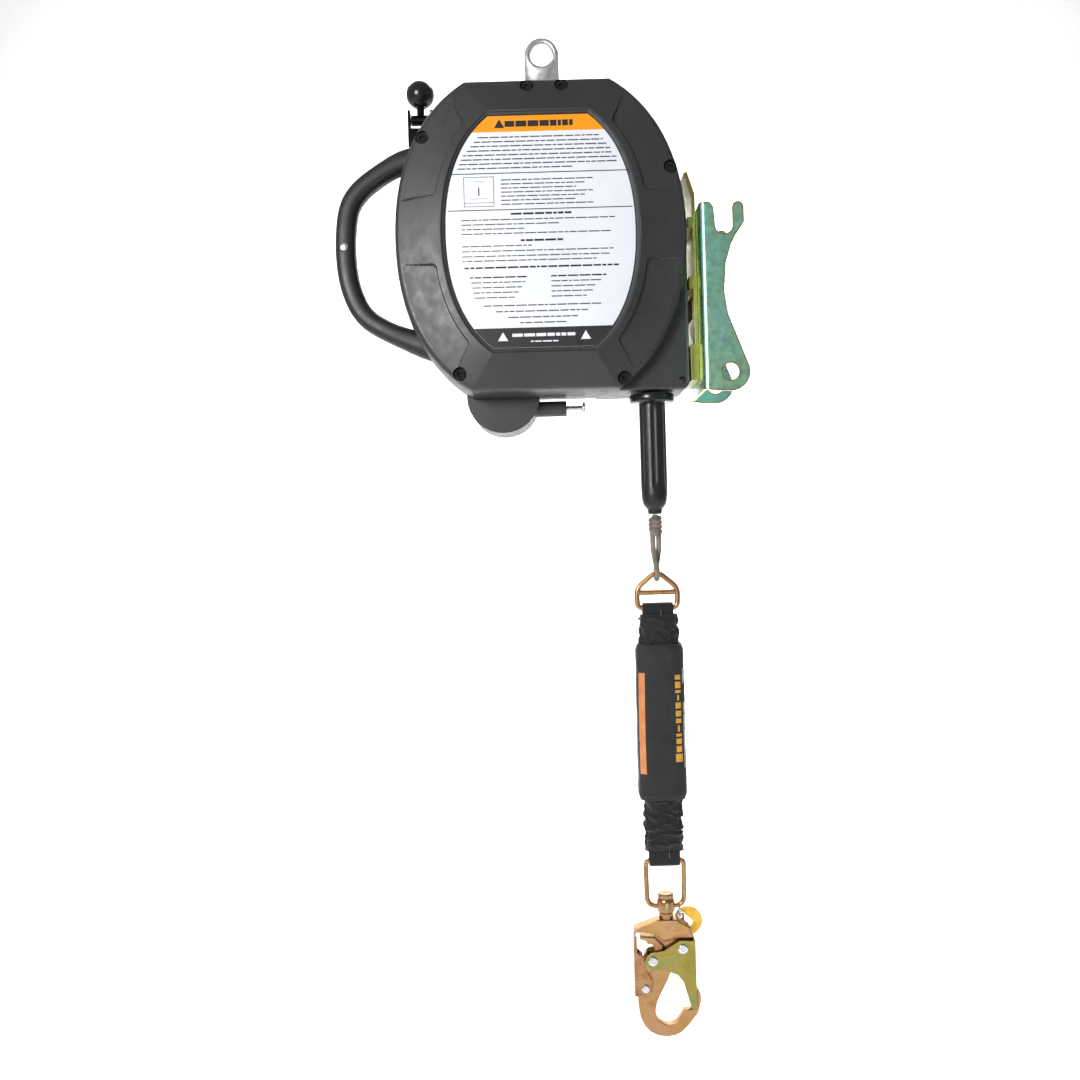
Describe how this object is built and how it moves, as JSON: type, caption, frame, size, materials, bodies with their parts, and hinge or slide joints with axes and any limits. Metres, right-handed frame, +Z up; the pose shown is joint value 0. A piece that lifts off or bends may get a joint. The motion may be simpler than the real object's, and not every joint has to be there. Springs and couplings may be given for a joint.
{
  "type": "self retracting lifeline",
  "caption": "Fall-arrest block with rope drum in a two-part housing, retrieval crank, side bracket, shock pack and swivel snap hook.",
  "frame": {"origin": "centre of the anchorage eye that the device hangs from", "axes": "+Z up, front label faces -Y, +X towards the mounting bracket"},
  "size_m": [0.457, 0.1433, 1.1381],
  "materials": {
    "housing_plastic": "fine moulded texture",
    "label": "printed film",
    "black_steel": "black coated",
    "bright_steel": "bright plated",
    "yellow_zinc": "yellow chromate with green and pink tints",
    "bronze": "sintered bush",
    "cast_metal": "as cast",
    "rope_fibre": "braided rope",
    "black_gloss": "polished moulding",
    "black_rubber": "satin rubber",
    "black_fabric": "woven webbing and ripstop cloth"
  },
  "bodies": {
    "housing": {"front_cover": "housing_plastic", "rear_cover": "housing_plastic", "label_plate": "label", "case_bolt_1": "black_steel", "case_bolt_2": "black_steel", "case_bolt_3": "black_steel", "case_bolt_4": "black_steel", "case_bolt_5": "black_steel", "case_bolt_6": "black_steel", "anchor_eye": "bright_steel", "front_frame_plate": "yellow_zinc", "rear_frame_plate": "yellow_zinc", "front_bearing": "bronze", "rear_bearing": "bronze", "spring_case": "yellow_zinc", "power_spring": "bright_steel", "ratchet_ring": "cast_metal", "gear_case": "housing_plastic", "carry_handle": "housing_plastic", "bracket_channel": "yellow_zinc", "mounting_plate": "yellow_zinc", "bracket_bolt_1": "bright_steel", "bracket_bolt_2": "bright_steel", "line_nozzle": "black_gloss"},
    "drum": {"main_shaft": "bright_steel", "rope_drum": "cast_metal", "wound_rope": "rope_fibre", "drum_gear": "cast_metal", "brake_hub": "cast_metal"},
    "pawl_one": {"brake_pawl_1": "bright_steel"},
    "pawl_two": {"brake_pawl_2": "bright_steel"},
    "plunger": {"shift_plunger": "bright_steel"},
    "crank": {"crank_shaft": "bright_steel", "crank_pinion": "bright_steel", "crank_arm": "black_steel", "crank_hub_nut": "black_steel", "knob_pivot_pin": "bright_steel"},
    "stem": {"knob_stem": "black_steel"},
    "knob": {"ball_knob": "black_gloss"},
    "lifeline": {"bumper_sleeve": "black_rubber", "lifeline_rope": "rope_fibre", "rope_knot": "rope_fibre", "rope_eye": "rope_fibre"},
    "ring": {"tri_ring": "yellow_zinc"},
    "absorber": {"upper_strap": "black_fabric", "upper_gaiter": "black_fabric", "absorber_pack": "black_fabric", "absorber_cover": "black_fabric", "lower_gaiter": "black_fabric", "lower_strap": "black_fabric"},
    "swivel_bail": {"bail": "yellow_zinc"},
    "hook": {"swivel_stud": "yellow_zinc", "hook_body": "yellow_zinc", "gate_rivet": "bright_steel", "lever_rivet": "bright_steel"},
    "lever": {"lock_lever": "yellow_zinc"},
    "keeper": {"hook_gate": "yellow_zinc", "lock_rivet": "bright_steel"},
    "tag": {"split_ring": "bright_steel", "inspection_tag": "yellow_zinc"}
  },
  "joints": [
    {"name": "line_pull", "type": "slide", "parent": "housing", "child": "lifeline", "axis": [0, 0, -1], "range_m": [0, 0.15], "stiffness_N_per_m": 20, "springref_m": -1.5},
    {"name": "drum_spin", "type": "hinge", "parent": "housing", "child": "drum", "pos_m": [-0.006, 0, -0.2154], "axis": [0, 1, 0], "range_deg": [0, 75]},
    {"name": "pawl_one_swing", "type": "hinge", "parent": "drum", "child": "pawl_one", "pos_m": [0.036, -0.029, -0.2154], "axis": [0, 1, 0], "range_deg": [0, 10], "stiffness_Nm_per_rad": 0.05, "springref_deg": -17.19},
    {"name": "pawl_two_swing", "type": "hinge", "parent": "drum", "child": "pawl_two", "pos_m": [-0.048, -0.029, -0.2154], "axis": [0, 1, 0], "range_deg": [0, 10], "stiffness_Nm_per_rad": 0.05, "springref_deg": -17.19},
    {"name": "plunger_pull", "type": "slide", "parent": "housing", "child": "plunger", "axis": [1, 0, 0], "range_m": [0, 0.008], "stiffness_N_per_m": 400, "springref_m": -0.005},
    {"name": "crank_turn", "type": "hinge", "parent": "housing", "child": "crank", "pos_m": [-0.0543, 0.07, -0.3862], "axis": [0, 1, 0], "continuous": true},
    {"name": "knob_fold", "type": "hinge", "parent": "crank", "child": "stem", "pos_m": [-0.148, 0.0715, -0.0394], "axis": [-1, 0, 0], "range_deg": [0, 90]},
    {"name": "knob_spin", "type": "hinge", "parent": "stem", "child": "knob", "pos_m": [-0.148, 0.0715, -0.0081], "axis": [0, 0, 1], "continuous": true},
    {"name": "ring_swing", "type": "hinge", "parent": "lifeline", "child": "ring", "pos_m": [0.115, 0, -0.59], "axis": [1, 0, 0], "range_deg": [-30, 30]},
    {"name": "absorber_swing", "type": "hinge", "parent": "ring", "child": "absorber", "pos_m": [0.115, 0, -0.632], "axis": [1, 0, 0], "range_deg": [-30, 30]},
    {"name": "bail_swing", "type": "hinge", "parent": "absorber", "child": "swivel_bail", "pos_m": [0.115, 0, -0.92], "axis": [1, 0, 0], "range_deg": [-30, 30]},
    {"name": "hook_swivel", "type": "hinge", "parent": "swivel_bail", "child": "hook", "pos_m": [0.115, 0, -0.97], "axis": [0, 0, 1], "continuous": true},
    {"name": "gate_swing", "type": "hinge", "parent": "hook", "child": "keeper", "pos_m": [0.132, 0, -1.0172], "axis": [0, 1, 0], "range_deg": [0, 20], "stiffness_Nm_per_rad": 0.2, "springref_deg": -20.05},
    {"name": "lever_press", "type": "hinge", "parent": "hook", "child": "lever", "pos_m": [0.0891, 0, -1.062], "axis": [0, 1, 0], "range_deg": [0, 5], "stiffness_Nm_per_rad": 0.3, "springref_deg": -11.46},
    {"name": "tag_swing", "type": "hinge", "parent": "hook", "child": "tag", "pos_m": [0.132, 0.0122, -0.9824], "axis": [1, 0, 0], "range_deg": [0, 40]}
  ],
  "couplings": [
    {"joint": "drum_spin", "follows": "line_pull", "rad_per_m": 8.2645}
  ]
}
